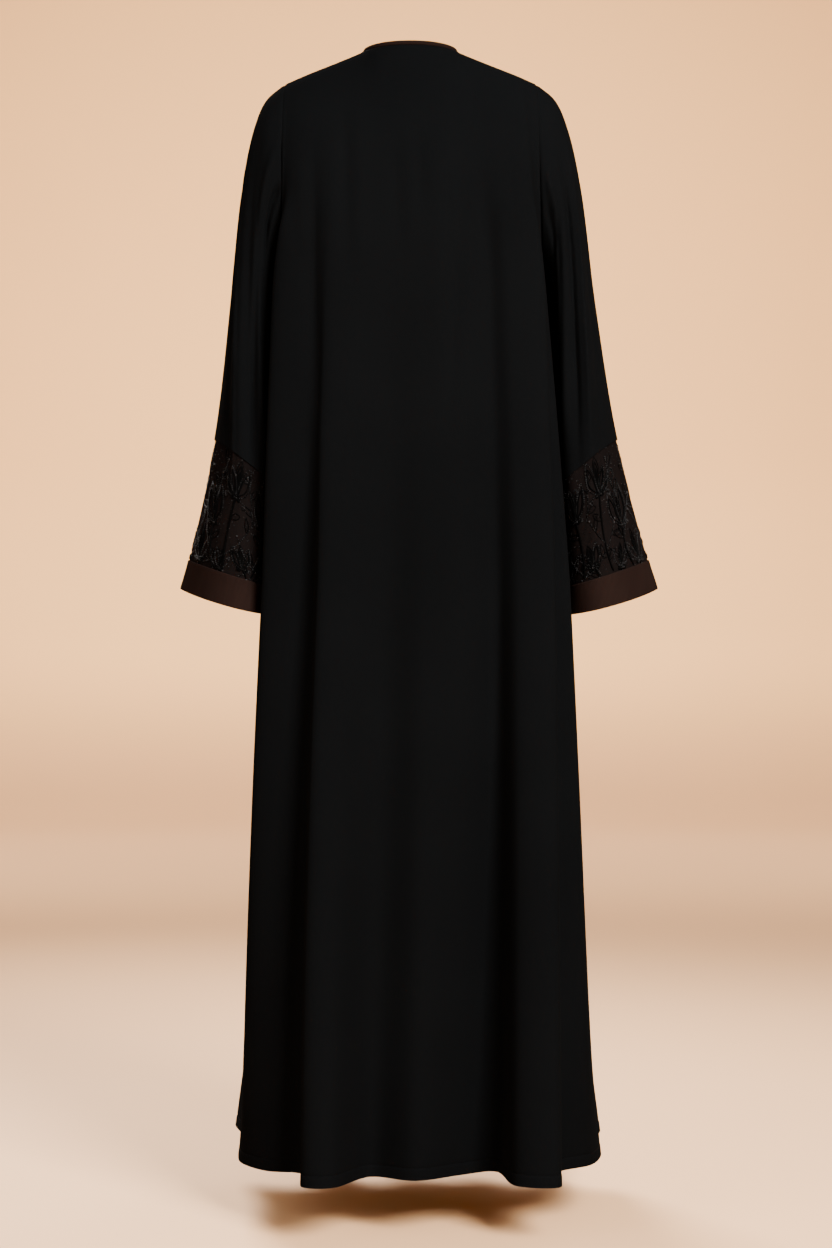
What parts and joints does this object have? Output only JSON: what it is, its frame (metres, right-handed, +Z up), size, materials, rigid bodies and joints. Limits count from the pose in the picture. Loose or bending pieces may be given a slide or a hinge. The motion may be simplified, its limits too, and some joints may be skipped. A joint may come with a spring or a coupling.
{
  "type": "abaya cloak",
  "caption": "Floor-length A-line cloak in plain cloth, hollow as worn, with a round bound neck, a lapped front and wide bell sleeves that end in sheer panels and cuff bands.",
  "frame": {"origin": "middle of the neck opening at the height of the nape, where the wearer's neck and shoulders carry the cloak", "axes": "+Z up, from the hem to the neck; the front faces -Y; +X towards the wearer's left sleeve"},
  "size_m": [0.6322, 0.5187, 1.4533],
  "materials": {
    "black_crepe": "matt crepe with a soft low sheen",
    "dark_brown_organza": "sheer fine weave with corded and beaded embroidery",
    "dark_brown_satin": "plain satin-backed cloth, low sheen"
  },
  "bodies": {
    "root": {"back": "black_crepe", "front_left": "black_crepe", "front_right": "black_crepe", "sleeve_left": "black_crepe", "sleeve_right": "black_crepe", "sleeve_panel_left": "dark_brown_organza", "sleeve_panel_right": "dark_brown_organza", "cuff_band_left": "dark_brown_satin", "cuff_band_right": "dark_brown_satin", "neck_binding": "dark_brown_satin"}
  },
  "joints": []
}
